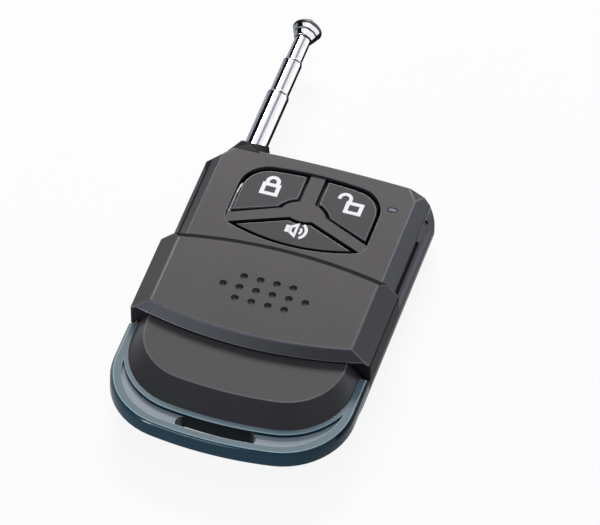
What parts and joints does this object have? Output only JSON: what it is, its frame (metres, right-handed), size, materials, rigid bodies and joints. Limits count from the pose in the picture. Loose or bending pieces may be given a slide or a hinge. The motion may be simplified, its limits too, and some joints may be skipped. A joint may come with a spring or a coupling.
{
  "type": "alarm key fob",
  "caption": "Remote alarm key fob with push buttons under a sliding cover, a telescopic antenna and a key loop at the tail.",
  "frame": {"origin": "centre of the flat back, midway between the top end and the tail", "axes": "+Z out of the button face, +Y from the tail to the antenna, +X to the right with the face towards you"},
  "size_m": [0.04, 0.092, 0.0126],
  "materials": {
    "case_plastic": "fine grain",
    "button_plastic": "fine grain",
    "loop_plastic": "smoke, polished",
    "lens_plastic": "frosted",
    "black_plastic": "satin",
    "antenna_chrome": "polished",
    "spring_brass": "satin",
    "board": "solder mask",
    "plated_steel": "plated",
    "ceramic": "satin",
    "battery_sleeve": "satin"
  },
  "bodies": {
    "case": {"front_case": "case_plastic", "rear_case": "case_plastic", "key_loop": "loop_plastic", "light_pipe": "lens_plastic", "antenna_collar": "black_plastic", "lock_switch": "black_plastic", "unlock_switch": "black_plastic", "alarm_switch": "black_plastic", "encoder_chip": "black_plastic", "rf_transistor": "black_plastic", "chip_resistors": "black_plastic", "antenna_clip": "spring_brass", "pcb": "board", "pcb_screws": "plated_steel", "switch_frames": "plated_steel", "switch_terminals": "plated_steel", "encoder_leads": "plated_steel", "saw_resonator": "plated_steel", "battery_spring": "plated_steel", "battery_plate": "plated_steel", "case_screws": "plated_steel", "rf_trimmer": "ceramic", "chip_capacitors": "ceramic", "indicator_led": "ceramic", "battery": "battery_sleeve"},
    "cover": {"sliding_cover": "case_plastic"},
    "lock_key": {"lock_button": "button_plastic", "lock_plunger": "black_plastic"},
    "unlock_key": {"unlock_button": "button_plastic", "unlock_plunger": "black_plastic"},
    "alarm_key": {"alarm_button": "button_plastic", "alarm_plunger": "black_plastic"},
    "antenna_a": {"antenna_lower": "antenna_chrome", "antenna_stop": "spring_brass"},
    "antenna_b": {"antenna_middle": "antenna_chrome"},
    "antenna_c": {"antenna_upper": "antenna_chrome", "antenna_tip": "antenna_chrome"},
    "door": {"battery_door": "case_plastic"}
  },
  "joints": [
    {"name": "cover_slide", "type": "slide", "parent": "case", "child": "cover", "axis": [0, 1, 0], "range_m": [0, 0.0196]},
    {"name": "lock_press", "type": "slide", "parent": "case", "child": "lock_key", "axis": [0, 0, -1], "range_m": [0, 0.0005], "stiffness_N_per_m": 400},
    {"name": "unlock_press", "type": "slide", "parent": "case", "child": "unlock_key", "axis": [0, 0, -1], "range_m": [0, 0.0005], "stiffness_N_per_m": 400},
    {"name": "alarm_press", "type": "slide", "parent": "case", "child": "alarm_key", "axis": [0, 0, -1], "range_m": [0, 0.0005], "stiffness_N_per_m": 400},
    {"name": "antenna_lower_slide", "type": "slide", "parent": "case", "child": "antenna_a", "axis": [0, 1, 0], "range_m": [-0.0119, 0.013]},
    {"name": "antenna_middle_slide", "type": "slide", "parent": "antenna_a", "child": "antenna_b", "axis": [0, 1, 0], "range_m": [-0.0076, 0.021]},
    {"name": "antenna_upper_slide", "type": "slide", "parent": "antenna_b", "child": "antenna_c", "axis": [0, 1, 0], "range_m": [-0.0048, 0.024]},
    {"name": "door_slide", "type": "slide", "parent": "case", "child": "door", "axis": [0, -1, 0], "range_m": [0, 0.015]}
  ]
}
